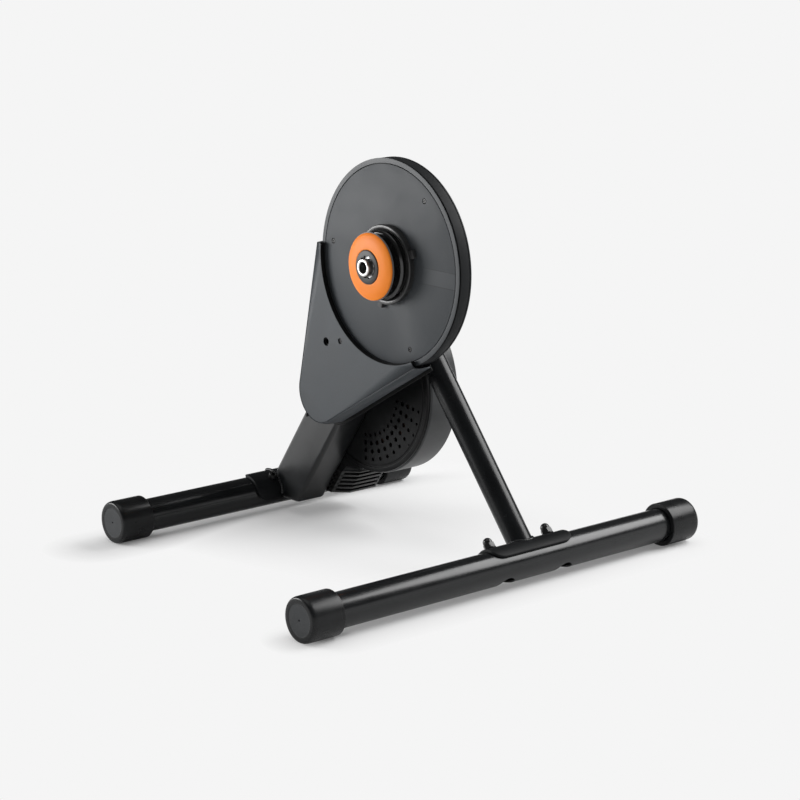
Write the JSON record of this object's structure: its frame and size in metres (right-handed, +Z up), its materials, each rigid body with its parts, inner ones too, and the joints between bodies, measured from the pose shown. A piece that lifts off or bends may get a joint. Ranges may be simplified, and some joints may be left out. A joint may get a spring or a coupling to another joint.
{
  "type": "direct drive bike trainer",
  "caption": "Direct drive bike trainer: a beam and strut on floor bars carry a belt pulley with a guarded cog on a hollow axle, and a flywheel brake behind a side cover.",
  "frame": {"origin": "on the floor, midway between the floor bars and in the middle of the front bar's length", "axes": "+Z up, +X forwards along the bike, -Y towards the bike's chain side"},
  "size_m": [0.4616, 0.564, 0.4515],
  "materials": {
    "satin_black": "satin black paint",
    "guard_grey": "matt dark grey moulding",
    "cover_grey": "matt dark grey",
    "hub_grey": "matt grey",
    "cap_rubber": "soft dark rubber",
    "belt_rubber": "ribbed black rubber",
    "black_plastic": "fine-grained black",
    "orange_plastic": "satin orange",
    "bright_steel": "bright turned steel",
    "dark_steel": "blackened steel",
    "flywheel_paint": "smooth grey paint",
    "magnet": "nickel plated",
    "winding": "copper windings on a steel core",
    "circuit": "green board"
  },
  "bodies": {
    "frame": {"main_beam": "satin_black", "strut": "satin_black", "front_bar": "satin_black", "rear_bar": "satin_black", "foot_cap_front_near": "cap_rubber", "foot_cap_front_far": "cap_rubber", "foot_cap_rear_near": "cap_rubber", "foot_cap_rear_far": "cap_rubber", "front_saddle": "satin_black", "rear_saddle": "satin_black", "front_bolt_near": "dark_steel", "front_bolt_far": "dark_steel", "front_nut_near": "satin_black", "front_nut_far": "satin_black", "rear_bolt_near": "dark_steel", "rear_bolt_far": "dark_steel", "axle_head": "satin_black", "axle": "dark_steel", "drive_end_cap": "bright_steel", "left_end_cap": "bright_steel", "freehub_spacer": "bright_steel", "hub_spacer": "bright_steel", "pulley_spacer": "bright_steel", "left_spacer": "bright_steel", "freehub_bearing_outer": "bright_steel", "freehub_bearing_inner": "bright_steel", "pulley_bearing_outer": "bright_steel", "pulley_bearing_inner": "bright_steel", "shaft_housing": "satin_black", "shaft_bearing_drive": "bright_steel", "shaft_bearing_left": "bright_steel", "brake_cover": "black_plastic", "stator": "winding", "belt_guard": "guard_grey", "guard_backplate": "satin_black", "power_socket": "black_plastic", "status_light": "black_plastic", "io_board": "circuit", "lower_housing": "black_plastic", "circuit_board": "circuit", "drive_belt": "belt_rubber"},
    "pulley": {"belt_pulley": "black_plastic", "pulley_cover": "cover_grey", "cover_screw_1": "dark_steel", "cover_screw_2": "dark_steel", "cover_screw_3": "dark_steel", "clutch_housing": "hub_grey", "one_way_clutch": "dark_steel"},
    "freehub": {"freehub_body": "dark_steel", "cog": "bright_steel", "inner_guard": "black_plastic", "guard_backing": "hub_grey", "outer_guard": "orange_plastic", "lockring": "dark_steel"},
    "flywheel": {"flywheel": "flywheel_paint", "magnet_ring": "magnet", "flywheel_shaft": "bright_steel", "small_pulley": "dark_steel", "pulley_nut": "dark_steel"}
  },
  "joints": [
    {"name": "flywheel_spin", "type": "hinge", "parent": "frame", "child": "flywheel", "pos_m": [-0.072, 0, 0.1735], "axis": [0, 1, 0], "continuous": true},
    {"name": "pulley_spin", "type": "hinge", "parent": "frame", "child": "pulley", "pos_m": [0.038, 0, 0.335], "axis": [0, 1, 0], "continuous": true},
    {"name": "freehub_spin", "type": "hinge", "parent": "frame", "child": "freehub", "pos_m": [0.038, 0, 0.335], "axis": [0, 1, 0], "continuous": true}
  ],
  "couplings": [
    {"joint": "pulley_spin", "follows": "flywheel_spin", "ratio": 0.18766}
  ]
}
